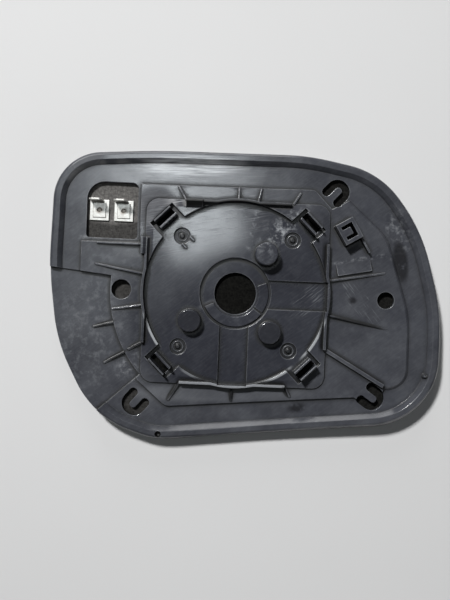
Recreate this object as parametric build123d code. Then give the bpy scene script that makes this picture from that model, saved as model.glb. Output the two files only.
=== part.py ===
from build123d import *
import os
from math import sqrt

# Heated door mirror glass, lying on its glass: backing plate, heater pad, glass and two blade terminals.
# The origin is the mouth of the hub bore. +Z leaves the back of the plate, +Y is the mirror's top edge.
# Sizes are in millimetres and angles in degrees, counted from +X about the hub axis.

# Plate outline: how far its four sides reach from the hub axis
PLATE_LEFT = 91.5
PLATE_RIGHT = 100.5
PLATE_TOP = 69.0
PLATE_BOTTOM = 73.0

# Outline corners, as inset from the side, inset from the top or bottom, and radius
TOP_LEFT_CORNERS = [(1.5, 4.5, 24.0), (51.5, 0.5, 400.0)]
TOP_RIGHT_CORNERS = [(67.5, 0.0, 110.0), (32.5, 7.0, 42.0), (11.0, 33.5, 84.0), (0.0, 73.0, 95.0)]
BOTTOM_RIGHT_CORNERS = [(0.0, 14.5, 34.0)]
BOTTOM_LEFT_CORNERS = [(54.5, 0.0, 38.0), (24.0, 10.0, 46.0), (5.0, 46.0, 80.0), (0.0, 81.0, 140.0)]

# Layers from the convex glass front to the back of the plate
GLASS_RADIUS = 1300.0
GLASS_THICKNESS = 2.0
PAD_THICKNESS = 0.6
PAD_MARGIN = 3.0
PLATE_WALL = 2.2

# Lip round the edge of the glass, and the rim on the plate's back
LIP_WALL = 1.8
LIP_SETBACK = 0.4
GLASS_CLEARANCE = 0.2
RIM_HEIGHT = 2.1
RIM_LAND = 3.7
RIM_SLOPE = 2.1
RIM_FOOT = 0.1
RIM_BEVEL_WIDTH = 0.8
RIM_BEVEL_DEPTH = 1.4
RIM_TOP_BEVEL = 0.6
RIM_DIMPLE = (-35.0, -70.3)
RIM_DIMPLE_RADIUS = 1.9
RIM_DIMPLE_DEPTH = 2.0
RIM_PIP = (93.9, -36.6)
RIM_PIP_RADIUS = 1.6
RIM_PIP_HEIGHT = 2.3

# Swept recess on the lower left, where the rim is left off
SWEEP_RADIUS = 61.4
SWEEP_START = 174.0
SWEEP_END = 222.5
SWEEP_DEPTH = 0.8

# Low platform that stiffens the middle of the plate. Its right side is bevelled, and the corners there are
# insets from the plate's side.
PLATFORM_HEIGHT = 1.2
PLATFORM_BEVEL = 1.4
PLATFORM_FOOT = 0.1
BEVEL_LEFT = 54.0
BEVEL_BOTTOM = -45.0
PLATFORM_TOP_CORNERS = [(-48.0, 51.8, 0.0), (37.0, 52.3, 3.0), (45.8, 43.2, 0.0), (54.3, 47.8, 0.0)]
PLATFORM_RIGHT_CORNERS = [(27.0, 30.5, 20.0), (14.6, -8.0, 60.0), (14.6, -44.2, 10.0), (26.2, -44.0, 0.0)]
PLATFORM_BOTTOM_CORNERS = [
    (72.6, -49.5, 0.0), (68.0, -52.3, 0.0), (59.8, -48.4, 0.0), (-32.1, -56.6, 5.0),
    (-46.3, -44.4, 0.0), (-76.3, 7.5, 0.0), (-76.3, 22.7, 0.0), (-48.0, 23.3, 0.0),
]

# Actuator seat: a rounded square block with a round well, and thin walls along its sides
SEAT_WIDTH = 90.0
SEAT_CORNER = 6.0
SEAT_BEVEL_WIDTH = 3.6
SEAT_BEVEL_DEPTH = 0.8
SEAT_TOP = 4.2
SEAT_BASE = 0.2
DISC_RADIUS = 45.0
DISC_FLOOR = 1.5
WALL_THICKNESS = 1.2
WALL_TOP = 5.8
WALL_REACH = 25.7

# Lead-in ramps on the top and left walls
RAMP_LENGTH = 8.2
RAMP_DEPTH = 3.9
RAMP_LAND = 1.0
RAMP_TOP = 7.0
LEFT_RAMP_SHIFT = 1.8

# Hub bore and the recesses round it
HUB_BORE_RADIUS = 10.3
HUB_RECESS_RADIUS = 17.6
CHANNEL_WIDTH = 14.2
CHANNEL_FLOOR = 0.4

# Pegs, as radius, angle and top
PEGS = [(24.4, 54.0, 8.4), (26.1, 212.8, 6.4), (25.4, 313.2, 6.0)]
PEG_RADIUS = 5.6
PEG_CHAMFER = 0.5

# Ejector wells on the diagonals, and two short bars beside the upper left one
WELL_CIRCLE = 38.5
WELL_RADIUS = 4.0
WELL_DEPTH = 0.8
WELL_NUB_RADIUS = 1.3
BAR_ANGLE = 135.0
BAR_START = 2.9
BAR_LENGTH = 3.0
BAR_SPREAD = 5.2
BAR_HEIGHT = 0.9

# Small tapered studs: nubs, pip and dimples
STUD_SIDES = 8
STUD_TAPER = 20.0

# Snap clips on the diagonals: a hook wall, a through slot and a thin leaf in a notch of the seat
CLIP_ANGLES = [45.0, 135.0, 225.0, 315.0]
CLIP_WIDTH = 10.4
CLIP_TOP = 9.2
CLIP_NOTCH_WIDTH = 14.6
HOOK_RADIUS = 47.3
HOOK_WALL = 0.9
HOOK_BARB = 0.5
HOOK_BARB_HEIGHT = 1.6
CLIP_SLOT = 3.6
LEAF_WALL = 0.8
LEAF_GAP = 1.0

# Ribs and gussets: width, and lists of angle, inner radius and outer radius
RIB_WIDTH = 0.9
RIB_ROOT = 0.6
GUSSET_TOP = 4.0
GUSSET_END = 0.4
SHORT_GUSSETS = [
    (120.0, 51.5, 59.5), (90.0, 45.8, 52.0), (78.0, 45.8, 53.0), (59.0, 52.0, 59.0),
    (240.0, 51.5, 62.0), (270.0, 45.8, 53.0), (300.0, 51.5, 57.5),
    (170.3, 45.5, 70.0), (189.5, 45.5, 61.0), (210.0, 51.0, 59.5),
]
FADING_RIBS = [(10.0, 45.8, 74.0), (349.0, 45.8, 77.0)]
FADING_TOP = 3.5
MAIN_RIB = (330.2, 51.5, 85.0)
MAIN_RIB_WIDTH = 1.8
MAIN_RIB_HEIGHT = 2.8
TERMINAL_RIB_Y = 22.2
TERMINAL_RIB_START = -68.7
TERMINAL_RIB_TOP = 4.2

# Gussets that brace the edge of the swept recess, as angle and length
SWEEP_GUSSETS = [(195.6, 10.6), (210.2, 11.8)]

# Low wedge beside the first fading rib: middle of its steep side, and the way that side runs
WEDGE_PLACE = (58.2, 12.2)
WEDGE_ANGLE = 11.0
WEDGE_LENGTH = 16.8
WEDGE_WIDTH = 6.2
WEDGE_HEIGHT = 1.1

# Lead clip beside the seat: a tall square boss with a hooked slot through it
BOSS_RADIUS = 62.7
BOSS_ANGLE = 31.0
BOSS_LENGTH = 9.2
BOSS_WIDTH = 10.8
BOSS_TOP = 9.0
BOSS_SLOT = 1.7
BOSS_SLOT_LENGTH = 5.8
BOSS_SLOT_WIDTH = 7.0
FENCE_LENGTH = 8.6
FENCE_WALL = 0.9
FENCE_TOP = 6.0

# Spring tongues in U slots, as inner radius and angle
TONGUES = [(65.0, 47.2), (67.5, 229.6), (78.3, 324.9)]
TONGUE_SLOT_LENGTH = 11.6
TONGUE_SLOT_WIDTH = 12.0
TONGUE_LENGTH = 8.0
TONGUE_WIDTH = 3.4
TONGUE_FLAT = 0.3

# Round holes, as centre and radius
HOLES = [(-56.0, -0.2, 4.8), (73.7, -0.4, 4.1)]

# Heater terminals and the window over them
WINDOW_WIDTH = 24.8
WINDOW_HEIGHT = 27.4
WINDOW_CENTRE = (-61.9, 38.4)
WINDOW_RADII = (8.5, 3.0, 1.5, 1.5)
TERMINAL_SPACING = 11.9
TERMINAL_SHIFT = -0.7
TERMINAL_WIDTH = 9.2
TERMINAL_LENGTH = 10.2
TERMINAL_SHEET = 0.8
TERMINAL_LIFT = 0.02
EMBOSS_WIDTH = 6.4
EMBOSS_LENGTH = 7.6
EMBOSS_HEIGHT = 0.4
EMBOSS_TAPER = 30.0
DIMPLE_RADIUS = 1.2
DIMPLE_DEPTH = 0.7
BLADE_WIDTH = 6.3
BLADE_HEIGHT = 8.5
BLADE_CHAMFER = 1.2
BLADE_SHIFT = -1.3

# Longer than any cut is deep
REACH = 40.0

FLANGE_RADIUS = GLASS_RADIUS - GLASS_THICKNESS - PAD_THICKNESS - PLATE_WALL
GLASS_DEPTH = PLATE_WALL + PAD_THICKNESS + GLASS_THICKNESS


def rounded(corners):
    """Face with straight sides between rounded corners."""
    points = [(x, y) for x, y, radius in corners]
    return make_face(FilletPolyline(points, radius=[radius for x, y, radius in corners], close=True))


def outer_outline():
    """Outline of the plate, clockwise from its upper left corner."""
    corners = [(-PLATE_LEFT + x, PLATE_TOP - y, radius) for x, y, radius in TOP_LEFT_CORNERS]
    corners += [(PLATE_RIGHT - x, PLATE_TOP - y, radius) for x, y, radius in TOP_RIGHT_CORNERS]
    corners += [(PLATE_RIGHT - x, -PLATE_BOTTOM + y, radius) for x, y, radius in BOTTOM_RIGHT_CORNERS]
    corners += [(-PLATE_LEFT + x, -PLATE_BOTTOM + y, radius) for x, y, radius in BOTTOM_LEFT_CORNERS]
    return rounded(corners)


def prism(face):
    """Upright prism that passes right through the plate."""
    return Pos(0, 0, -REACH) * extrude(face, 2 * REACH)


def dome(depth):
    """Ball whose surface lies a depth in front of the plate's back, so it holds all that is behind."""
    return Pos(0, 0, FLANGE_RADIUS) * Rot(90, 0, 0) * Sphere(FLANGE_RADIUS + depth)


def dome_z(radius, depth=0.0):
    """Height of a dome at a distance from the hub axis."""
    return FLANGE_RADIUS - sqrt((FLANGE_RADIUS + depth) ** 2 - radius**2)


def dome_place(x, y, depth):
    """Frame on a dome, square to its curve."""
    z = dome_z(sqrt(x**2 + y**2), depth)
    outward = Vector(-x, -y, FLANGE_RADIUS - z)
    along = Vector(0, 1, 0).cross(outward)
    return Plane(origin=(x, y, z), x_dir=along, z_dir=outward).location


def layer(face, front, back):
    """Curved sheet over a face, between two depths."""
    return (prism(face) & dome(front)) - dome(back)


def back_face(sheet):
    """Curved face of a sheet that lies furthest back."""
    return sheet.faces().filter_by(GeomType.SPHERE).sort_by(Axis.Z)[-1]


def at(radius, angle):
    """Frame at a polar place, with its X axis pointing outwards."""
    return Rot(0, 0, angle) * Pos(radius, 0, 0)


def bar(x0, x1, width, z0, z1):
    """Box along X, centred on Y."""
    return Pos((x0 + x1) / 2, 0, (z0 + z1) / 2) * Box(x1 - x0, width, z1 - z0)


def post(radius, z0, z1):
    """Upright cylinder on the local origin."""
    return Pos(0, 0, (z0 + z1) / 2) * Cylinder(radius, z1 - z0)


def stud(radius, height):
    """Small eight-sided stud on the local origin that tapers upwards, or downwards if the height is negative."""
    return extrude(RegularPolygon(radius, STUD_SIDES), height, taper=STUD_TAPER)


def radial_rib(angle, inner, outer, inner_top, outer_top, width=RIB_WIDTH, root=RIB_ROOT):
    """Rib with a straight top that stands on the plate and points at the hub."""
    profile = Polyline(
        (inner, dome_z(inner) - root),
        (outer, dome_z(outer) - root),
        (outer, outer_top),
        (inner, inner_top),
        close=True,
    )
    return Rot(0, 0, angle) * extrude(Plane.XZ * make_face(profile), width / 2, both=True)


def rimmed_sheet(outline):
    """Plate blank with its rim, rounded in two bevels outside and sloped inwards to the back of the plate."""
    blank = layer(outline, GLASS_DEPTH - LIP_SETBACK, -RIM_HEIGHT)
    back = back_face(blank)
    blank = chamfer(back.edges(), RIM_BEVEL_WIDTH, RIM_BEVEL_DEPTH, reference=back)
    blank = chamfer(back_face(blank).edges(), RIM_TOP_BEVEL)
    blank -= prism(offset(outline, -RIM_LAND - RIM_SLOPE)) & dome(0)
    back = back_face(blank)
    inner_edges = back.inner_wires()[0].edges()
    return chamfer(inner_edges, RIM_SLOPE, RIM_HEIGHT - RIM_FOOT, reference=back)


def platform():
    """Low raised panel, bevelled on its right side."""
    corners = list(PLATFORM_TOP_CORNERS)
    corners += [(PLATE_RIGHT - x, y, radius) for x, y, radius in PLATFORM_RIGHT_CORNERS]
    corners += PLATFORM_BOTTOM_CORNERS
    panel = layer(rounded(corners), RIB_ROOT, -PLATFORM_HEIGHT)
    back = back_face(panel)
    right_edges = back.edges().filter_by(lambda edge: edge.center().X > BEVEL_LEFT)
    right_edges = right_edges.filter_by(lambda edge: edge.center().Y > BEVEL_BOTTOM)
    return chamfer(right_edges, PLATFORM_BEVEL, PLATFORM_HEIGHT - PLATFORM_FOOT, reference=back)


def low_wedge():
    """Wedge on the platform that rises slowly from its upper side."""
    profile = Polyline(
        (0, -RIB_ROOT), (0, WEDGE_HEIGHT), (WEDGE_WIDTH, 0), (WEDGE_WIDTH, -RIB_ROOT), close=True)
    wedge = extrude(Plane.YZ * make_face(profile), WEDGE_LENGTH / 2, both=True)
    x, y = WEDGE_PLACE
    return dome_place(x, y, -PLATFORM_HEIGHT) * Rot(0, 0, WEDGE_ANGLE) * wedge


def sweep_sector():
    """Sector of the lower left that is cut below the rest of the plate."""
    outer = PLATE_LEFT + PLATE_BOTTOM
    span = SWEEP_END - SWEEP_START
    start_line = Line(at(SWEEP_RADIUS, SWEEP_START).position, at(outer, SWEEP_START).position)
    outer_arc = CenterArc((0, 0), outer, SWEEP_START, span)
    end_line = Line(at(outer, SWEEP_END).position, at(SWEEP_RADIUS, SWEEP_END).position)
    inner_arc = CenterArc((0, 0), SWEEP_RADIUS, SWEEP_START, span)
    return prism(make_face([start_line, outer_arc, end_line, inner_arc])) & dome(SWEEP_DEPTH)


def seat():
    """Square block with bevelled back edges, and the thin walls that rise along its sides."""
    square = RectangleRounded(SEAT_WIDTH, SEAT_WIDTH, SEAT_CORNER)
    block = Pos(0, 0, SEAT_BASE) * extrude(square, SEAT_TOP - SEAT_BASE)
    top = block.faces().sort_by(Axis.Z)[-1]
    block = chamfer(top.edges(), SEAT_BEVEL_WIDTH, SEAT_BEVEL_DEPTH, reference=top)
    inner_width = SEAT_WIDTH - 2 * WALL_THICKNESS
    outside = square + Circle(DISC_RADIUS + WALL_THICKNESS)
    band = outside - Rectangle(inner_width, inner_width) - Circle(DISC_RADIUS)
    span = SEAT_WIDTH + 4 * WALL_THICKNESS
    band &= Rectangle(span, 2 * WALL_REACH) + Rectangle(2 * WALL_REACH, span)
    walls = Pos(0, 0, SEAT_BASE) * extrude(band, WALL_TOP - SEAT_BASE)
    return block + walls + lead_in_ramps()


def lead_in_ramps():
    """Wedges at the ends of the top and left walls that slope down towards the hub."""
    outer = SEAT_WIDTH / 2
    profile = Polyline(
        (outer - RAMP_DEPTH, SEAT_BASE),
        (outer, SEAT_BASE),
        (outer, RAMP_TOP),
        (outer - RAMP_LAND, RAMP_TOP),
        (outer - RAMP_DEPTH, SEAT_TOP),
        close=True,
    )
    wedge = extrude(Plane.XZ * make_face(profile), RAMP_LENGTH)
    top_ramp = Rot(0, 0, 90) * Pos(0, WALL_REACH, 0) * wedge
    left_ramp = Rot(0, 0, 180) * Pos(LEFT_RAMP_SHIFT, RAMP_LENGTH - WALL_REACH, 0) * wedge
    return [top_ramp, left_ramp]


def ribs():
    """Gussets round the seat, low ribs that fade into the curved plate, and the one tall rib."""
    made = []
    for angle, inner, outer in SHORT_GUSSETS:
        made.append(radial_rib(angle, inner, outer, GUSSET_TOP, dome_z(outer, -PLATFORM_HEIGHT) + GUSSET_END))
    for angle, length in SWEEP_GUSSETS:
        inner = SWEEP_RADIUS - RIB_ROOT
        outer = SWEEP_RADIUS + length
        inner_top = dome_z(inner, -PLATFORM_HEIGHT) - GUSSET_END
        outer_top = dome_z(outer, SWEEP_DEPTH) + GUSSET_END
        made.append(radial_rib(angle, inner, outer, inner_top, outer_top, root=SWEEP_DEPTH + RIB_ROOT))
    for angle, inner, outer in FADING_RIBS:
        made.append(radial_rib(angle, inner, outer, FADING_TOP, FADING_TOP))
    angle, inner, outer = MAIN_RIB
    inner_top = dome_z(inner, -MAIN_RIB_HEIGHT)
    outer_top = dome_z(outer, -MAIN_RIB_HEIGHT)
    made.append(radial_rib(angle, inner, outer, inner_top, outer_top, MAIN_RIB_WIDTH))
    terminal_rib = bar(TERMINAL_RIB_START, -SEAT_WIDTH / 2, RIB_WIDTH, RIB_ROOT, TERMINAL_RIB_TOP)
    made.append(Pos(0, TERMINAL_RIB_Y, 0) * terminal_rib)
    return made


def lead_boss():
    """Tall boss, and the thin fence that runs on from its corner."""
    boss = bar(-BOSS_LENGTH / 2, BOSS_LENGTH / 2, BOSS_WIDTH, SEAT_BASE, BOSS_TOP)
    fence = bar(BOSS_LENGTH / 2 - FENCE_WALL, BOSS_LENGTH / 2, FENCE_LENGTH, SEAT_BASE, FENCE_TOP)
    fence = Pos(0, -(BOSS_WIDTH + FENCE_LENGTH) / 2, 0) * fence
    return at(BOSS_RADIUS, BOSS_ANGLE) * (boss + fence)


def boss_slot():
    """Hooked slot through the boss and the plate, round a tongue that starts from the hub side."""
    hook = Rectangle(BOSS_SLOT_LENGTH, BOSS_SLOT_WIDTH)
    hook -= Pos(-BOSS_SLOT, 0) * Rectangle(BOSS_SLOT_LENGTH, BOSS_SLOT_WIDTH - 2 * BOSS_SLOT)
    return at(BOSS_RADIUS, BOSS_ANGLE) * prism(hook)


def rim_dimple():
    """Small blind hole in the top of the rim."""
    x, y = RIM_DIMPLE
    above = dome_z(sqrt(x**2 + y**2), -RIM_HEIGHT) + RIB_ROOT
    return Pos(x, y, above) * stud(RIM_DIMPLE_RADIUS, -RIB_ROOT - RIM_DIMPLE_DEPTH)


def rim_pip():
    """Tapered pip at the foot of the rim's slope."""
    x, y = RIM_PIP
    foot = dome_z(sqrt(x**2 + y**2)) - RIB_ROOT
    return Pos(x, y, foot) * stud(RIM_PIP_RADIUS, RIB_ROOT + RIM_PIP_HEIGHT)


def disc_cuts():
    """Round well of the seat, hub bore and recess, and the two flat channels that leave the hub."""
    channel = bar(0, DISC_RADIUS, CHANNEL_WIDTH, CHANNEL_FLOOR, REACH)
    return [
        post(DISC_RADIUS, DISC_FLOOR, REACH),
        post(HUB_RECESS_RADIUS, 0, REACH),
        post(HUB_BORE_RADIUS, -REACH, REACH),
        channel,
        Rot(0, 0, 270) * channel,
    ]


def clip_cuts(angle):
    """Notch through the seat and slot through the plate for one snap clip."""
    slot_start = HOOK_RADIUS + HOOK_WALL
    leaf_end = slot_start + CLIP_SLOT + LEAF_WALL
    notch = bar(0, leaf_end + LEAF_GAP, CLIP_NOTCH_WIDTH, DISC_FLOOR, REACH)
    slot = bar(slot_start, slot_start + CLIP_SLOT, CLIP_WIDTH, -REACH, REACH)
    return [Rot(0, 0, angle) * notch, Rot(0, 0, angle) * slot]


def clip_walls(angle):
    """Barbed hook wall and the leaf that faces it across the slot."""
    slot_start = HOOK_RADIUS + HOOK_WALL
    profile = Polyline(
        (HOOK_RADIUS, DISC_FLOOR - RIB_ROOT),
        (slot_start, DISC_FLOOR - RIB_ROOT),
        (slot_start, CLIP_TOP - HOOK_BARB_HEIGHT),
        (slot_start + HOOK_BARB, CLIP_TOP - HOOK_BARB_HEIGHT),
        (slot_start, CLIP_TOP),
        (HOOK_RADIUS, CLIP_TOP),
        close=True,
    )
    hook = extrude(Plane.XZ * make_face(profile), CLIP_WIDTH / 2, both=True)
    slot_end = slot_start + CLIP_SLOT
    leaf = bar(slot_end, slot_end + LEAF_WALL, CLIP_WIDTH, DISC_FLOOR - RIB_ROOT, CLIP_TOP)
    return [Rot(0, 0, angle) * hook, Rot(0, 0, angle) * leaf]


def well_cut():
    """Round recess that leaves a tapered nub standing in it."""
    floor = DISC_FLOOR - WELL_DEPTH
    return post(WELL_RADIUS, floor, REACH) - Pos(0, 0, floor) * stud(WELL_NUB_RADIUS, WELL_DEPTH)


def well_bars():
    """Two short bars that run from one ejector well towards the hub."""
    well_side = WELL_CIRCLE - BAR_START
    one = bar(well_side - BAR_LENGTH, well_side, RIB_WIDTH, DISC_FLOOR - RIB_ROOT, DISC_FLOOR + BAR_HEIGHT)
    turn = Rot(0, 0, BAR_ANGLE)
    return [turn * Pos(0, BAR_SPREAD / 2, 0) * one, turn * Pos(0, -BAR_SPREAD / 2, 0) * one]


def tongue_slot():
    """U slot that leaves a spring tongue, its root on the local origin and its tip outwards."""
    side = TONGUE_SLOT_WIDTH / 2
    tip = TONGUE_WIDTH / 2
    end = (side - tip - TONGUE_FLAT) / 2
    return prism(rounded([
        (0, side, end),
        (TONGUE_SLOT_LENGTH, side, side - TONGUE_FLAT),
        (TONGUE_SLOT_LENGTH, -side, side - TONGUE_FLAT),
        (0, -side, end),
        (0, -tip, end),
        (TONGUE_LENGTH, -tip, tip - TONGUE_FLAT),
        (TONGUE_LENGTH, tip, tip - TONGUE_FLAT),
        (0, tip, end),
    ]))


def terminal_window():
    """Window over the heater terminals, with its larger corner towards the outline's corner."""
    x, y = WINDOW_CENTRE
    half_x = WINDOW_WIDTH / 2
    half_y = WINDOW_HEIGHT / 2
    upper_left, upper_right, lower_right, lower_left = WINDOW_RADII
    return prism(rounded([
        (x - half_x, y + half_y, upper_left),
        (x + half_x, y + half_y, upper_right),
        (x + half_x, y - half_y, lower_right),
        (x - half_x, y - half_y, lower_left),
    ]))


def backing_plate(outline):
    """One moulded plate: rim, platform, seat, ribs and clips."""
    plate = rimmed_sheet(outline) + platform()
    plate -= sweep_sector()
    plate += [seat(), lead_boss(), rim_pip(), low_wedge()] + ribs()
    plate += post(DISC_RADIUS, -PLATE_WALL / 2, DISC_FLOOR)
    cuts = disc_cuts() + [terminal_window(), boss_slot(), rim_dimple()]
    for angle in CLIP_ANGLES:
        cuts += clip_cuts(angle)
        cuts.append(at(WELL_CIRCLE, angle) * well_cut())
    for radius, angle in TONGUES:
        cuts.append(at(radius, angle) * tongue_slot())
    for x, y, radius in HOLES:
        cuts.append(Pos(x, y) * post(radius, -REACH, REACH))
    plate -= cuts
    plate += well_bars()
    for angle in CLIP_ANGLES:
        plate += clip_walls(angle)
    for radius, angle, top in PEGS:
        peg = post(PEG_RADIUS, 0, top)
        plate += at(radius, angle) * chamfer(peg.faces().sort_by(Axis.Z)[-1].edges(), PEG_CHAMFER)
    return plate - (prism(offset(outline, -LIP_WALL)) - dome(PLATE_WALL))


def heater_pad(outline):
    """Printed heater film between the plate and the glass."""
    face = offset(outline, -LIP_WALL - GLASS_CLEARANCE - PAD_MARGIN)
    return layer(face, PLATE_WALL + PAD_THICKNESS, PLATE_WALL)


def mirror_glass(outline):
    """Convex glass with the same curve front and back."""
    face = offset(outline, -LIP_WALL - GLASS_CLEARANCE)
    return layer(face, GLASS_DEPTH, GLASS_DEPTH - GLASS_THICKNESS)


def heater_terminal():
    """Pressed tab with an embossed and dimpled middle, folded up into a blade along its top edge."""
    tab = Pos(0, 0, TERMINAL_SHEET / 2) * Box(TERMINAL_WIDTH, TERMINAL_LENGTH, TERMINAL_SHEET)
    emboss_face = Rectangle(EMBOSS_WIDTH, EMBOSS_LENGTH)
    emboss = Pos(0, 0, TERMINAL_SHEET) * extrude(emboss_face, EMBOSS_HEIGHT, taper=EMBOSS_TAPER)
    blade_face = Rectangle(BLADE_WIDTH, BLADE_HEIGHT, align=(Align.CENTER, Align.MIN))
    blade_face = chamfer(blade_face.vertices().group_by(Axis.Y)[-1], BLADE_CHAMFER)
    blade = Pos(BLADE_SHIFT, TERMINAL_LENGTH / 2, 0) * extrude(Plane.XZ * blade_face, TERMINAL_SHEET)
    dimple = Pos(0, 0, TERMINAL_SHEET + EMBOSS_HEIGHT) * stud(DIMPLE_RADIUS, -DIMPLE_DEPTH)
    return tab + emboss + blade - dimple


os.makedirs("parts", exist_ok=True)
plate_outline = outer_outline()
export_step(backing_plate(plate_outline), "parts/backing_plate.step")
export_step(heater_pad(plate_outline), "parts/heater_pad.step")
export_step(mirror_glass(plate_outline), "parts/mirror_glass.step")
window_x, window_y = WINDOW_CENTRE
for side, shift in (("left", -TERMINAL_SPACING / 2), ("right", TERMINAL_SPACING / 2)):
    place = dome_place(window_x + TERMINAL_SHIFT + shift, window_y, PLATE_WALL - TERMINAL_LIFT)
    export_step(place * heater_terminal(), f"parts/heater_terminal_{side}.step")
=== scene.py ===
from math import cos, radians, sin
from typing import NamedTuple

import bpy
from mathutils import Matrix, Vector


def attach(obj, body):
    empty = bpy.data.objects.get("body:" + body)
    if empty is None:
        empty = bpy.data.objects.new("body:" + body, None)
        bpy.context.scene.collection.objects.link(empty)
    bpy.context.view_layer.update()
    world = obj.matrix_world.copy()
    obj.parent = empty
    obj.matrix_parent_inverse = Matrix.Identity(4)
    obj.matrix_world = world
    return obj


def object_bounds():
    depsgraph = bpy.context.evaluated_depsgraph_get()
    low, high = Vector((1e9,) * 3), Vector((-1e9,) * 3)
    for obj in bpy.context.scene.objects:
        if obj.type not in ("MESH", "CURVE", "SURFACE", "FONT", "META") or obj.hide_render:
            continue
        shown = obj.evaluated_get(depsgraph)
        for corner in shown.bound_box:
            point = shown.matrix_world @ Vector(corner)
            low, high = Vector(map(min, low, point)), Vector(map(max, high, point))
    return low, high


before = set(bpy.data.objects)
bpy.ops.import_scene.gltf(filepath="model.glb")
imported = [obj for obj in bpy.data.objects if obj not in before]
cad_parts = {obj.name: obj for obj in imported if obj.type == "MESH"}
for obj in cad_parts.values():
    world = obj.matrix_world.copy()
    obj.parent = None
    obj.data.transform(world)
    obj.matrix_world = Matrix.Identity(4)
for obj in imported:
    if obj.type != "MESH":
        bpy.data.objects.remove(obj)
cad_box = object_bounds()


class Oval(NamedTuple):
    """Soft oval seen from above. Its edge is a share of its size, and its strength the most it gives."""
    centre: tuple
    angle: float
    half_length: float
    half_width: float
    edge: float = 0.6
    strength: float = 1.0


class Cloud(NamedTuple):
    """Noise, the range of it that shows, and what that range becomes."""
    scale: float
    detail: float
    roughness: float
    low: float
    high: float
    to_low: float = 0.0
    to_high: float = 1.0


class Lines(NamedTuple):
    """Noise drawn out into fine lines, and the range of it that shows."""
    angle: float
    length: float
    width: float
    low: float
    high: float


class Lamp(NamedTuple):
    """Area lamp, in metres, watts and degrees."""
    name: str
    place: tuple
    size: tuple
    power: float
    spread: float = 180.0
    colour: tuple = (1.0, 1.0, 1.0)


# Millimetres in a metre. Places on the part are in millimetres from the hub's axis, and angles in degrees.
MM = 1000.0

# Low steps in the hub's recess: start and end angles, and height above its floor
HUB_STEPS = [(205.0, 323.0, 0.8), (327.0, 381.0, 0.45)]
HUB_STEP_INNER = 11.3
HUB_STEP_OUTER = 16.6
HUB_STEP_BEVEL = 0.4
HUB_STEP_FACET = 3.0
HUB_STEP_ROOT = 1.2
HUB_FLOOR = 0.0

# Each end of a step drops this far below the floor, over this angle
HUB_STEP_DROP = 0.3
HUB_STEP_RAMP = 0.4
HUB_STEP_END_BEVEL = 0.1

# Ring in each ejector well: radius and height above the well's floor
WELL_OFFSET = 27.2
WELLS = [(x, y) for x in (-WELL_OFFSET, WELL_OFFSET) for y in (-WELL_OFFSET, WELL_OFFSET)]
WELL_FLOOR = 0.7
WELL_RING = [(2.0, -0.2), (2.2, 0.25), (2.5, 0.35), (2.8, 0.25), (3.0, -0.2)]
WELL_RING_SIDES = 36

# Colours, linear
PLASTIC_DARK = (0.020, 0.021, 0.027)
PLASTIC_PALE = (0.032, 0.034, 0.042)
# Pale colour of dust and wear, also used for painted highlights and sheen
DUST_AND_HIGHLIGHT = (0.240, 0.250, 0.265)
# Pale colour of scuffs, also used for painted highlights and sheen
SCUFF_AND_HIGHLIGHT = (0.520, 0.540, 0.560)
# Colour of dark smudges, also used for painted shade on two peg tops
SMUDGE_AND_SHADE = (0.010, 0.010, 0.011)
# Near black of the painted shade
PAINTED_SHADE_COLOUR = (0.002, 0.002, 0.002)
FILM_DARK = (0.0005, 0.0005, 0.0005)
FILM_PALE = (0.009, 0.009, 0.008)
BARE_DARK = (0.065, 0.062, 0.060)
BARE_PALE = (0.205, 0.198, 0.190)
SILVER = (0.82, 0.84, 0.86)
TIN = (0.72, 0.72, 0.69)
TIN_DARK = (0.58, 0.57, 0.54)
STAIN = (0.20, 0.15, 0.11)
FLOOR = (0.55, 0.55, 0.55)
FLOOR_SHADE = 0.97
FLOOR_DARK = tuple(FLOOR_SHADE * c for c in FLOOR)
COOL = (0.91, 0.97, 1.0)

# Noise as scale, detail and roughness, and bumps as depth and strength
LINE_NOISE = (1.0, 2.0, 0.55)
GLOSS_NOISE = (0.10, 5.0, 0.65)
PLASTIC_GRAIN = (0.9, 3.0, 0.6)
PLASTIC_BUMP = (0.006, 0.3)
FILM_BUMP = (0.04, 0.7)
TIN_GRAIN = (1.5, 3.0, 0.55)
TIN_BUMP = (0.03, 0.5)
FLOOR_NOISE = (0.01, 3.0, 0.55)

# Radius of the rounding that a material gives to sharp edges
PLASTIC_EDGE = 0.5
TIN_EDGE = 0.25

# Colour of the plastic: slow flow marks, and the mottle that breaks up its rub marks
FLOW = Cloud(0.035, 5.0, 0.6, 0.30, 0.70)
MOTTLE = Cloud(0.30, 5.0, 0.7, 0.45, 0.70)

# Rub marks in fine lines: on the upper disc, the right channel, the right platform and the top flange. On
# the upper disc and the top flange they also paint the lamp's sheen as a highlight.
RUB_LINES_AND_SHEEN = [
    (Lines(12.0, 12.0, 0.6, 0.45, 0.75), Oval((-20.0, 38.0), 12.0, 30.0, 16.0)),
    (Lines(40.0, 9.0, 0.45, 0.54, 0.70), Oval((38.0, -2.0), 35.0, 10.0, 6.0)),
    (Lines(-50.0, 9.0, 0.5, 0.58, 0.74), Oval((60.0, 0.0), -50.0, 14.0, 5.0)),
    (Lines(2.0, 12.0, 0.7, 0.40, 0.70), Oval((-22.0, 60.0), 2.0, 30.0, 7.0)),
]

# Mottled rub marks: on the disc at the upper right and on the plate beyond the lead boss. A pale band on
# the upper disc paints the edge of the lamp's sheen, and a pale spot paints a highlight on the upper right
# peg.
RUB_SPOTS_AND_SHEEN = [
    Oval((21.0, 32.0), 45.0, 13.0, 5.0),
    Oval((8.0, 34.0), 78.0, 16.0, 1.6),
    Oval((14.3, 19.7), 0.0, 5.4, 5.4, edge=0.1, strength=0.25),
    Oval((74.0, 29.0), 99.0, 8.0, 0.9),
    Oval((61.0, 19.4), 11.0, 15.0, 0.9),
    Oval((79.0, 34.0), 110.0, 10.0, 4.0),
]
RUB_AND_SHEEN_SHARE = 0.45

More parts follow.
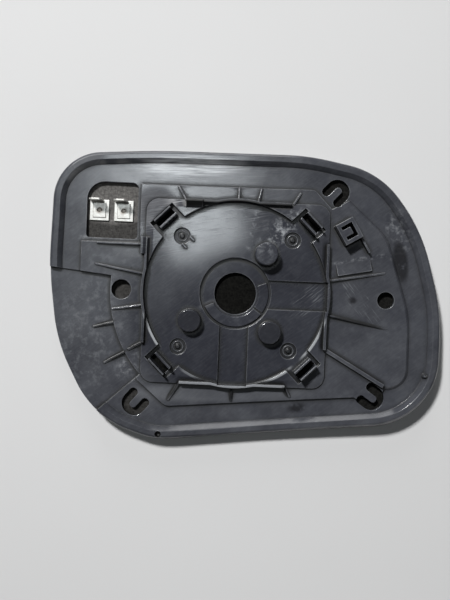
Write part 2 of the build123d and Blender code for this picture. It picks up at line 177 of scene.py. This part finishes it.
# Dust on the left of the plate
DUSTY_SPOTS = [
    Oval((-51.0, -37.0), 60.0, 7.0, 4.0),
    Oval((-72.0, 24.5), 0.0, 5.0, 1.6),
    Oval((-60.0, 24.0), 0.0, 14.0, 0.9),
    Oval((-48.5, 52.0), 40.0, 4.0, 1.5),
    Oval((-72.0, -22.0), 70.0, 38.0, 18.0, strength=0.35),
]
DUST_SHARE = 0.45

# The plate round the seat is duller and paler than the seat itself, and paler along the seat's lower side
SEAT = Oval((-2.0, -3.0), 0.0, 52.0, 50.0, edge=0.12)
DULLING = Cloud(0.06, 5.0, 0.65, 0.25, 0.80, 0.04, 0.16)
PALE_STRIP = Oval((-7.9, -48.9), 2.4, 42.0, 4.5, edge=0.35, strength=0.15)

# Faint marks of handling all over, and more of them on the lower part of the hub's ring
FAINT_LINES = Lines(38.0, 6.0, 0.7, 0.42, 0.72)
FAINT_HALF = 0.5
HUB_RING_SPOT = Oval((0.4, -13.0), 0.0, 12.0, 3.2, edge=0.3)
FAINT_SHARE = 0.07

# Fine scuffs along the top flange, which also paint the lamp's sheen there, and a paler streak by the clip
# at the upper right
FLANGE_LINES = Lines(2.0, 14.0, 0.6, 0.30, 0.62)
FLANGE_SHEEN_SPOT = Oval((-25.0, 61.4), 2.0, 25.0, 4.4, edge=0.35)
CLIP_SPOT = Oval((24.0, 34.0), 50.0, 11.0, 4.0, strength=0.5)
SCUFF_AND_SHEEN_SHARE = 0.62

# Dark smudges on the right flange, the bottom flange and the right platform, and painted shade on the tops
# of the two lower pegs
SMUDGES_AND_PEG_SHADE = [
    Oval((80.4, 18.7), 100.0, 10.0, 3.4, edge=0.3),
    Oval((-21.9, -14.1), 0.0, 5.6, 5.6, edge=0.05, strength=0.4),
    Oval((17.4, -18.5), 0.0, 5.6, 5.6, edge=0.05, strength=0.55),
    Oval((32.6, -54.8), 15.0, 4.0, 2.4),
    Oval((57.7, -1.0), 0.0, 1.8, 1.6),
]
SMUDGING = Cloud(0.25, 4.0, 0.6, 0.28, 0.46)
SMUDGE_AND_SHADE_SHARE = 0.80

# Outer edges made paler, partly as rubbed wear and partly as a painted highlight, fainter from the seat's
# lower side down: where along Y the change starts and ends
EDGE_REACH = 0.6
EDGE_WEAR = Cloud(0.12, 4.0, 0.6, 0.30, 0.60, 0.2, 1.0)
FAINT_EDGES = (-47.0, -44.0)
FAINT_EDGE_SHARE = 0.3
EDGE_WEAR_AND_HIGHLIGHT_SHARE = 0.35

# The seat's walls: the height above which they stand clear of the seat, and the boxes that hold them
# and the upper one's ramp, as left, right, low and high
WALL_FOOT = 4.3
WALL_FOOT_BLEND = 0.3
UPPER_WALL = (-26.0, 26.0, 42.5, 47.5)
LOWER_WALL = (-26.0, 26.0, -47.5, -42.5)
LOWER_WALL_AND_FOOT = (-26.0, 26.0, -49.0, -42.5)
# The upper ramp's box is painted dark as shade
UPPER_RAMP = (-26.2, -17.8, 41.2, 45.2)
# Share of the painted highlight on the top of the seat's lower wall
WALL_HIGHLIGHT_SHARE = 0.70

# A wall follows the seat's square side, then bulges round the disc. Each pair is where a mask is 0
# and where it is 1: first as a distance from the middle to the side, then as a radius round the disc.
UPPER_FACE = ((44.9, 44.5), (46.0, 45.6))
LOWER_FACE = ((44.9, 45.1), (46.0, 46.3))
LOWER_SHADE = ((46.8, 46.2), (48.0, 47.4))

# Painted highlight on the disc's lower edge, as radius, half width and softness, and the ovals that it
# shows in
DISC_EDGE = (45.5, 0.6, 0.3)
DISC_HIGHLIGHT_SPOTS = [
    Oval((-40.4, -19.8), -63.0, 8.5, 3.0, edge=0.3),
    Oval((39.6, -21.6), 62.0, 11.0, 3.0, edge=0.3),
    Oval((22.0, -39.8), 28.0, 8.5, 3.0, edge=0.3, strength=0.8),
    Oval((-19.0, -41.2), -25.0, 6.5, 3.0, edge=0.3, strength=0.35),
]
DISC_HIGHLIGHT_SHARE = 0.50

# Ribs painted dark with shade from end to end: middle, angle and half length
RIBS = [
    ((-64.1, -17.4), 17.4, 5.8),
    ((-57.4, -32.9), 29.5, 6.5),
    ((-47.8, -26.9), 30.8, 3.6),
    ((-29.1, -49.1), 58.7, 5.2),
    ((-0.3, -49.8), 92.4, 3.0),
    ((26.2, -47.0), -61.0, 2.8),
    ((60.4, -11.9), -10.6, 13.0),
]
RIB_HALF = 0.9
SHADED_RIBS = [Oval(middle, angle, half, RIB_HALF, edge=0.3) for middle, angle, half in RIBS]

# Painted shade in corners, in the wells, and in a dark line along the hub's upper edge, as radius and half
# width
CORNER_REACH = 2.5
SHADED_WELLS = [Oval(well, 0.0, 1.9, 1.9, edge=0.25, strength=0.75) for well in WELLS]
HUB_LINE = (16.6, 0.8)
HUB_LINE_SPOT = Oval((-3.0, 10.0), 0.0, 19.0, 11.0, edge=0.25, strength=0.85)
WALL_SHADE_SHARE = 0.90
RAMP_SHADE_SHARE = 0.80
RIB_SHADE_SHARE = 0.85

# Roughness of the plastic: bare, with what noise, marks and wear add, and the places that are worn dull
PLASTIC_ROUGHNESS = 0.06
NOISE_ROUGHNESS = 0.10
MARK_ROUGHNESS = 0.30
WORN_ROUGHNESS = 0.55
WORN_SPOTS = [
    Oval((-40.5, 40.5), 0.0, 8.0, 8.0),
    Oval((-13.0, -5.8), 24.0, 4.5, 1.4, strength=0.7),
    Oval((-74.0, 63.0), 32.0, 8.0, 4.0, strength=0.5),
]

# Heater film: its grain and weave, the dark part under the seat, and where it is bare
FILM_GRAIN = Cloud(0.8, 5.0, 0.8, 0.30, 0.70)
FILM_WEAVE = [Lines(0.0, 3.0, 0.5, 0.4, 0.6), Lines(90.0, 3.0, 0.5, 0.4, 0.6)]
FILM_GRAIN_SHARE = 0.75
FILM_WEAVE_SHARE = 0.25
DARK_FILM = Oval((0.0, 0.0), 0.0, 54.0, 54.0, edge=0.05)
OUTER_FILM_SHARE = 0.03
BARE_FILM = [
    Oval((-62.0, 49.0), 0.0, 26.0, 17.0, edge=0.1, strength=0.70),
    Oval((-62.0, 26.0), 0.0, 26.0, 11.0, edge=0.1, strength=0.30),
    Oval((-56.0, -0.2), 0.0, 7.0, 7.0, edge=0.2, strength=0.24),
    Oval((-43.7, -51.4), 0.0, 11.0, 11.0, edge=0.2, strength=0.16),
]
FILM_ROUGHNESS = 0.6
FILM_SPECULAR = 0.03

# Glass: its haze as roughness
GLASS_HAZE = Cloud(0.05, 4.0, 0.55, 0.4, 0.8, 0.02, 0.06)

# Tinned tabs: dull patches, and a stain in each tab's dimple
TIN_WEAR = Cloud(0.8, 4.0, 0.65, 0.35, 0.70)
TIN_STAINS = [Oval((x, 38.2), 30.0, 1.7, 1.3, strength=0.7) for x in (-68.5, -56.7)]
TIN_ROUGHNESS = 0.40
TIN_POLISH = 0.06
TIN_METALLIC = 0.6

# Samples of the rounding and of the search for near faces
EDGE_SAMPLES = 8
OPENNESS_SAMPLES = 6

# How open a face is where a corner or an outer edge starts, and where it is full
CORNER_OPENNESS = (0.98, 0.70)
EDGE_OPENNESS = (0.92, 0.50)

# Marks reach through all heights: their stretch along Z
THROUGH = 1000.0

# Camera, in metres: straight above the back of the plate, turned a little about its axis
CAMERA_AXIS = Vector((-0.0049, -0.0034, 0.0))
CAMERA_HEIGHT = 0.346
CAMERA_ROLL = 2.4
CAMERA_CLIP = 0.01

# Lens and sensor, in millimetres
CAMERA_LENS = 42.0
CAMERA_SENSOR = 36.0

# Stage, in metres. A lamp's narrow spread keeps it off the floor near its foot.
FLOOR_HALF = 3.0
FLOOR_ROUGHNESS = 0.9
WORLD_COLOUR = (1.0, 1.0, 1.0, 1.0)
WORLD_STRENGTH = 0.01
LAMPS = [
    Lamp("panel", (-0.0605, 0.150, 1.0), (0.140, 0.13), 0.66, colour=COOL),
    Lamp("side", (-0.215, 0.085, 1.0), (0.22, 0.27), 0.13, colour=COOL),
    Lamp("key", (-0.72, 1.12, 1.60), (0.24, 0.24), 17.2, spread=100.0),
    Lamp("low", (-0.20, 1.90, 0.72), (0.80, 0.80), 1.48, spread=80.0),
    Lamp("fill", (1.20, -1.60, 0.45), (2.00, 0.70), 2.00, spread=100.0),
]


class Graph:
    """Short words for building one material's nodes. Places are in millimetres."""

    def __init__(self, name):
        self.material = bpy.data.materials.new(name)
        self.material.use_nodes = True
        self.tree = self.material.node_tree
        self.shader = self.tree.nodes["Principled BSDF"]
        metres = self.add("TexCoord", {})["Object"]
        self.place = self.add("VectorMath", {0: metres, "Scale": MM}, operation="SCALE")["Vector"]

    def link(self, value, socket):
        """Link an output to a socket, or set a constant on it."""
        if isinstance(value, bpy.types.NodeSocket):
            self.tree.links.new(value, socket)
        elif socket.type == "RGBA":
            socket.default_value = (*value, 1.0)
        else:
            socket.default_value = value

    def add(self, kind, inputs, **settings):
        """Add a node with its settings, fill its inputs, and give its outputs."""
        node = self.tree.nodes.new("ShaderNode" + kind)
        for name, value in settings.items():
            setattr(node, name, value)
        for key, value in inputs.items():
            self.link(value, node.inputs[key])
        return node.outputs

    def math(self, operation, first, second=0.0, clamp=False):
        return self.add("Math", {0: first, 1: second}, operation=operation, use_clamp=clamp)["Value"]

    def times(self, first, second):
        return self.math("MULTIPLY", first, second)

    def total(self, *masks):
        """Sum of masks, held between 0 and 1."""
        result = masks[0]
        for mask in masks[1:]:
            result = self.math("ADD", result, mask, clamp=True)
        return result

    def outside(self, mask):
        """1 where a mask is 0, and 0 where it is 1."""
        return self.math("SUBTRACT", 1.0, mask)

    def span(self, value, low, high, to_low=0.0, to_high=1.0):
        """Smooth step of a value from one range to another."""
        inputs = {"Value": value, "From Min": low, "From Max": high, "To Min": to_low, "To Max": to_high}
        return self.add("MapRange", inputs, interpolation_type="SMOOTHSTEP")["Result"]

    def mix(self, factor, first, second):
        """Colour between two others."""
        return self.add("Mix", {"Factor": factor, "A": first, "B": second}, data_type="RGBA")["Result"]

    def noise(self, scale, detail, roughness, place=None):
        vector = self.place if place is None else place
        inputs = {"Vector": vector, "Scale": scale, "Detail": detail, "Roughness": roughness}
        return self.add("TexNoise", inputs)["Fac"]

    def cloud(self, cloud):
        """Mask of soft noise."""
        noise = self.noise(cloud.scale, cloud.detail, cloud.roughness)
        return self.span(noise, cloud.low, cloud.high, cloud.to_low, cloud.to_high)

    def turned(self, centre, angle, stretch):
        """Place measured from a centre, turned, in units of a stretch along and across."""
        inputs = {
            "Vector": self.place,
            "Location": (*centre, 0.0),
            "Rotation": (0.0, 0.0, radians(angle)),
            "Scale": (*stretch, THROUGH),
        }
        return self.add("Mapping", inputs, vector_type="TEXTURE")["Vector"]

    def distance(self, centre, angle=0.0, stretch=(1.0, 1.0)):
        """Distance from a centre, seen from above."""
        place = self.turned(centre, angle, stretch)
        return self.add("VectorMath", {0: place}, operation="LENGTH")["Value"]

    def along(self, axis):
        """One coordinate of the place."""
        return self.add("SeparateXYZ", {"Vector": self.place})[axis]

    def oval(self, oval):
        """Mask that is the oval's strength inside it and 0 outside."""
        reach = self.distance(oval.centre, oval.angle, (oval.half_length, oval.half_width))
        return self.span(reach, 1.0 + oval.edge, 1.0 - oval.edge, to_high=oval.strength)

    def ovals(self, ovals):
        return self.total(*(self.oval(oval) for oval in ovals))

    def lines(self, lines):
        """Mask of fine lines that run at an angle."""
        place = self.turned((0.0, 0.0), lines.angle, (lines.length, lines.width))
        return self.span(self.noise(*LINE_NOISE, place), lines.low, lines.high)

    def beside(self, value, middle, half, edge=0.4):
        """1 where a value is within a half width of a middle, 0 outside, with a soft edge."""
        away = self.math("ABSOLUTE", self.math("SUBTRACT", value, middle))
        return self.span(away, half + edge, half - edge)

    def box(self, left, right, low, high):
        """Rectangle seen from above, 1 inside and 0 outside."""
        across = self.beside(self.along("X"), (left + right) / 2, (right - left) / 2)
        upright = self.beside(self.along("Y"), (low + high) / 2, (high - low) / 2)
        return self.times(across, upright)

    def openness(self, distance, inside):
        """How far a point is from other faces, over its own face or under it."""
        settings = {"samples": OPENNESS_SAMPLES, "inside": inside, "only_local": inside}
        return self.add("AmbientOcclusion", {"Distance": distance / MM}, **settings)["AO"]

    def corners(self, distance):
        """1 in tight corners and 0 in the open."""
        return self.span(self.openness(distance, inside=False), *CORNER_OPENNESS)

    def edges(self, distance):
        """1 on outer edges and 0 on open faces."""
        return self.span(self.openness(distance, inside=True), *EDGE_OPENNESS)

    def soft_edges(self, radius):
        """Normal that rounds every edge a little, as the edges of real pieces are."""
        return self.add("Bevel", {"Radius": radius / MM}, samples=EDGE_SAMPLES)["Normal"]

    def bump(self, height, depth, strength, under=None):
        """Normal of a rough surface, on top of another normal if one is given."""
        inputs = {"Height": height, "Distance": depth / MM, "Strength": strength}
        if under is not None:
            inputs["Normal"] = under
        return self.add("Bump", inputs)["Normal"]

    def finish(self, colour, roughness, normal=None, metallic=0.0, specular=0.5):
        """Fill the shader and give the material."""
        inputs = {
            "Base Color": colour,
            "Roughness": roughness,
            "Metallic": metallic,
            "Specular IOR Level": specular,
        }
        if normal is not None:
            inputs["Normal"] = normal
        for name, value in inputs.items():
            self.link(value, self.shader.inputs[name])
        return self.material


def handling_marks_and_sheen(g, mottle):
    """Light rub marks, dust and faint marks of handling, with painted sheen on the upper disc, the top
    flange and one peg, and the duller plate round the seat.
    """
    rubs_and_sheen = g.total(
        *(g.times(g.lines(lines), g.oval(oval)) for lines, oval in RUB_LINES_AND_SHEEN),
        *(g.times(mottle, g.oval(oval)) for oval in RUB_SPOTS_AND_SHEEN),
    )
    dusty = g.times(mottle, g.ovals(DUSTY_SPOTS))
    dull = g.times(g.outside(g.oval(SEAT)), g.cloud(DULLING))
    faint = g.total(
        g.times(g.lines(FAINT_LINES), FAINT_HALF),
        g.times(mottle, FAINT_HALF),
        g.times(mottle, g.oval(HUB_RING_SPOT)),
    )
    return g.total(
        g.times(rubs_and_sheen, RUB_AND_SHEEN_SHARE),
        g.times(dusty, DUST_SHARE),
        dull,
        g.oval(PALE_STRIP),
        g.times(faint, FAINT_SHARE),
    )


def scuffs_and_sheen(g, mottle):
    """Pale scuffs on the top flange, also painting its sheen, and by the upper right clip."""
    flange = g.times(g.lines(FLANGE_LINES), g.oval(FLANGE_SHEEN_SPOT))
    clip = g.times(mottle, g.oval(CLIP_SPOT))
    return g.times(g.total(flange, clip), SCUFF_AND_SHEEN_SHARE)


def worn_edges_and_highlight(g, ribs):
    """Pale outer edges of the moulding, rubbed wear and painted highlight, apart from those of the ribs
    painted with shade.
    """
    edges = g.times(g.edges(EDGE_REACH), g.cloud(EDGE_WEAR))
    # Less painted highlight on edges low down, where they face away from the lamps
    edges = g.times(edges, g.span(g.along("Y"), *FAINT_EDGES, to_low=FAINT_EDGE_SHARE))
    return g.times(edges, g.outside(ribs))


def painted_wall_shade(g, raised, radius):
    """Painted shade on the inner face of the seat's upper wall, and painted shadow along the outer foot of
    its lower wall.
    """
    across = g.math("ABSOLUTE", g.along("Y"))

    def line(operation, side, bulge):
        return g.math(operation, g.span(across, *side), g.span(radius, *bulge))

    upper = g.times(g.times(raised, g.box(*UPPER_WALL)), line("MAXIMUM", *UPPER_FACE))
    foot = g.times(line("MULTIPLY", *LOWER_FACE), line("MAXIMUM", *LOWER_SHADE))
    lower = g.times(foot, g.box(*LOWER_WALL_AND_FOOT))
    return g.times(g.total(upper, lower), WALL_SHADE_SHARE)


def moulded_plastic():
    """Satin black moulding with flow marks, rub marks, dust and smudges, with painted sheen and highlights
    on its faces and edges, and painted shade in its corners, crevices and hollows.
    """
    g = Graph("moulded_plastic")
    radius = g.distance((0.0, 0.0))
    raised = g.span(g.along("Z"), WALL_FOOT, WALL_FOOT + WALL_FOOT_BLEND)
    mottle = g.cloud(MOTTLE)
    ribs = g.ovals(SHADED_RIBS)

    # Rub marks, dust and handling marks, with painted sheen on the upper disc, the top flange and the
    # upper right peg
    marks_and_sheen = handling_marks_and_sheen(g, mottle)
    # Dark smudges, and painted shade on the tops of the two lower pegs
    smudges_and_shade = g.times(g.ovals(SMUDGES_AND_PEG_SHADE), g.cloud(SMUDGING))
    # Pale outer edges: rubbed wear and painted edge highlights
    edges = worn_edges_and_highlight(g, ribs)
    # Painted highlight on the top of the seat's lower wall
    painted_wall_highlight = g.times(raised, g.box(*LOWER_WALL))
    # Painted highlight on the lower edge of the disc
    disc_edge_highlight = g.times(g.beside(radius, *DISC_EDGE), g.ovals(DISC_HIGHLIGHT_SPOTS))
    # Painted shade: corners and hollows darkened, and dark paint along the seat's walls, on the upper
    # ramp, along the hub's upper edge, on the ribs and in the wells
    painted_shade = g.total(
        g.corners(CORNER_REACH),
        painted_wall_shade(g, raised, radius),
        g.times(g.box(*UPPER_RAMP), RAMP_SHADE_SHARE),
        g.times(g.beside(radius, *HUB_LINE), g.oval(HUB_LINE_SPOT)),
        g.times(ribs, RIB_SHADE_SHARE),
        g.ovals(SHADED_WELLS),
    )

    colour = g.mix(g.cloud(FLOW), PLASTIC_DARK, PLASTIC_PALE)
    colour = g.mix(marks_and_sheen, colour, DUST_AND_HIGHLIGHT)
    # Pale scuffs, which also paint the sheen on the top flange
    colour = g.mix(scuffs_and_sheen(g, mottle), colour, SCUFF_AND_HIGHLIGHT)
    colour = g.mix(g.times(smudges_and_shade, SMUDGE_AND_SHADE_SHARE), colour, SMUDGE_AND_SHADE)
    colour = g.mix(g.times(edges, EDGE_WEAR_AND_HIGHLIGHT_SHARE), colour, DUST_AND_HIGHLIGHT)
    colour = g.mix(g.times(painted_wall_highlight, WALL_HIGHLIGHT_SHARE), colour, DUST_AND_HIGHLIGHT)
    colour = g.mix(g.times(disc_edge_highlight, DISC_HIGHLIGHT_SHARE), colour, SCUFF_AND_HIGHLIGHT)
    colour = g.mix(painted_shade, colour, PAINTED_SHADE_COLOUR)

    roughness = g.math("ADD", g.times(g.noise(*GLOSS_NOISE), NOISE_ROUGHNESS), PLASTIC_ROUGHNESS)
    roughness = g.math("ADD", roughness, g.times(g.total(marks_and_sheen, painted_shade, edges), MARK_ROUGHNESS))
    roughness = g.math("ADD", roughness, g.times(g.ovals(WORN_SPOTS), WORN_ROUGHNESS), clamp=True)
    normal = g.bump(g.noise(*PLASTIC_GRAIN), *PLASTIC_BUMP, under=g.soft_edges(PLASTIC_EDGE))
    return g.finish(colour, roughness, normal)


def heater_film():
    """Printed film with a woven grain, bare and paler under the terminals."""
    g = Graph("heater_film")
    grain = g.cloud(FILM_GRAIN)
    weave = g.times(*(g.lines(threads) for threads in FILM_WEAVE))
    outer = g.times(g.outside(g.oval(DARK_FILM)), OUTER_FILM_SHARE)
    bare = g.total(outer, g.ovals(BARE_FILM))
    dark = g.mix(bare, FILM_DARK, BARE_DARK)
    pale = g.mix(bare, FILM_PALE, BARE_PALE)
    texture = g.total(g.times(grain, FILM_GRAIN_SHARE), g.times(weave, FILM_WEAVE_SHARE))
    colour = g.mix(texture, dark, pale)
    return g.finish(colour, FILM_ROUGHNESS, g.bump(grain, *FILM_BUMP), specular=FILM_SPECULAR)


def silvered_glass():
    """Bright mirror with a little haze."""
    g = Graph("silvered_glass")
    return g.finish(SILVER, g.cloud(GLASS_HAZE), metallic=1.0)


def tinned_metal():
    """Tinned tab with dull patches, brown in its dimple."""
    g = Graph("tinned_metal")
    wear = g.cloud(TIN_WEAR)
    colour = g.mix(wear, TIN_DARK, TIN)
    colour = g.mix(g.ovals(TIN_STAINS), colour, STAIN)
    roughness = g.math("SUBTRACT", TIN_ROUGHNESS, g.times(wear, TIN_POLISH))
    normal = g.bump(g.noise(*TIN_GRAIN), *TIN_BUMP, under=g.soft_edges(TIN_EDGE))
    return g.finish(colour, roughness, normal, metallic=TIN_METALLIC)


def floor_paper():
    """Pale matt paper, a little uneven in tone."""
    g = Graph("floor_paper")
    return g.finish(g.mix(g.noise(*FLOOR_NOISE), FLOOR, FLOOR_DARK), FLOOR_ROUGHNESS)


def swept(centre, steps, closed):
    """Points and faces of a profile carried round an upright axis, in millimetres.

    Each step is an angle and its (radius, height) points, from the inside to the outside.
    """
    points = []
    for angle, profile in steps:
        along, across = cos(radians(angle)), sin(radians(angle))
        points += [(centre[0] + r * along, centre[1] + r * across, h) for r, h in profile]
    count = len(steps[0][1])
    faces = []
    for i in range(len(steps) if closed else len(steps) - 1):
        j = (i + 1) % len(steps)
        for k in range(count):
            m = (k + 1) % count
            faces.append((i * count + k, i * count + m, j * count + m, j * count + k))
    if not closed:
        faces.append(tuple(reversed(range(count))))
        faces.append(tuple(range(len(points) - count, len(points))))
    return points, faces


def hub_step(start, end, height):
    """Low sector plate with bevelled edges and steep ends."""
    bottom = HUB_FLOOR - HUB_STEP_ROOT

    def profile(top, bevel):
        return [(HUB_STEP_INNER, bottom), (HUB_STEP_INNER, top - bevel),
                (HUB_STEP_INNER + bevel, top), (HUB_STEP_OUTER - bevel, top),
                (HUB_STEP_OUTER, top - bevel), (HUB_STEP_OUTER, bottom)]

    low = profile(HUB_FLOOR - HUB_STEP_DROP, HUB_STEP_END_BEVEL)
    high = profile(HUB_FLOOR + height, HUB_STEP_BEVEL)
    count = round((end - start) / HUB_STEP_FACET)
    angles = [start + (end - start) * i / count for i in range(count + 1)]
    steps = [(start - HUB_STEP_RAMP, low)] + [(a, high) for a in angles] + [(end + HUB_STEP_RAMP, low)]
    return swept((0.0, 0.0), steps, closed=False)


def well_ring(centre):
    """Low rounded ring on the floor of an ejector well."""
    profile = [(r, WELL_FLOOR + h) for r, h in WELL_RING]
    angles = [360.0 / WELL_RING_SIDES * i for i in range(WELL_RING_SIDES)]
    return swept(centre, [(angle, profile) for angle in angles], closed=True)


def add_form(name, parts, material):
    """One object made of several closed meshes, riding with the plate."""
    points, faces = [], []
    for part_points, part_faces in parts:
        faces += [tuple(i + len(points) for i in face) for face in part_faces]
        points += [tuple(c / MM for c in point) for point in part_points]
    data = bpy.data.meshes.new(name)
    data.from_pydata(points, [], faces)
    data.materials.append(material)
    form = bpy.data.objects.new(name, data)
    bpy.context.scene.collection.objects.link(form)
    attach(form, "root")


def assign(node, material):
    """Give a solid its material."""
    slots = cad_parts[node].data.materials
    slots.clear()
    slots.append(material)


def add_lamp(lamp):
    """Lamp turned to the middle of the part."""
    data = bpy.data.lights.new(lamp.name, "AREA")
    data.shape = "RECTANGLE"
    data.size, data.size_y = lamp.size
    data.energy = lamp.power
    data.color = lamp.colour
    data.spread = radians(lamp.spread)
    light = bpy.data.objects.new(lamp.name, data)
    light.location = lamp.place
    light.rotation_euler = (-Vector(lamp.place)).to_track_quat("-Z", "Y").to_euler()
    bpy.context.scene.collection.objects.link(light)


def add_floor(height):
    """Plain pale floor under the part."""
    data = bpy.data.meshes.new("floor")
    ways = [(-1, -1), (1, -1), (1, 1), (-1, 1)]
    corners = [(x * FLOOR_HALF, y * FLOOR_HALF, 0.0) for x, y in ways]
    data.from_pydata(corners, [], [(0, 1, 2, 3)])
    data.materials.append(floor_paper())
    floor = bpy.data.objects.new("floor", data)
    floor.location = (0.0, 0.0, height)
    bpy.context.scene.collection.objects.link(floor)


def add_camera():
    """Camera at the photograph's viewing angle."""
    data = bpy.data.cameras.new("camera")
    data.lens = CAMERA_LENS
    data.sensor_width = CAMERA_SENSOR
    data.sensor_fit = "AUTO"
    data.clip_start = CAMERA_CLIP
    camera = bpy.data.objects.new("camera", data)
    camera.location = CAMERA_AXIS + Vector((0.0, 0.0, CAMERA_HEIGHT))
    camera.rotation_euler = (0.0, 0.0, radians(CAMERA_ROLL))
    bpy.context.scene.collection.objects.link(camera)
    bpy.context.scene.camera = camera


def add_world():
    """Faint even light from all round."""
    world = bpy.data.worlds.new("studio")
    world.use_nodes = True
    background = world.node_tree.nodes["Background"]
    background.inputs["Color"].default_value = WORLD_COLOUR
    background.inputs["Strength"].default_value = WORLD_STRENGTH
    bpy.context.scene.world = world


plastic = moulded_plastic()
assign("backing_plate", plastic)
assign("heater_pad", heater_film())
assign("mirror_glass", silvered_glass())
tin = tinned_metal()
assign("heater_terminal_left", tin)
assign("heater_terminal_right", tin)
add_form("hub_steps", [hub_step(*step) for step in HUB_STEPS], plastic)
add_form("well_rings", [well_ring(well) for well in WELLS], plastic)

bpy.context.scene.view_settings.view_transform = "Standard"
add_floor(cad_box[0][2])
add_world()
for lamp in LAMPS:
    add_lamp(lamp)
add_camera()
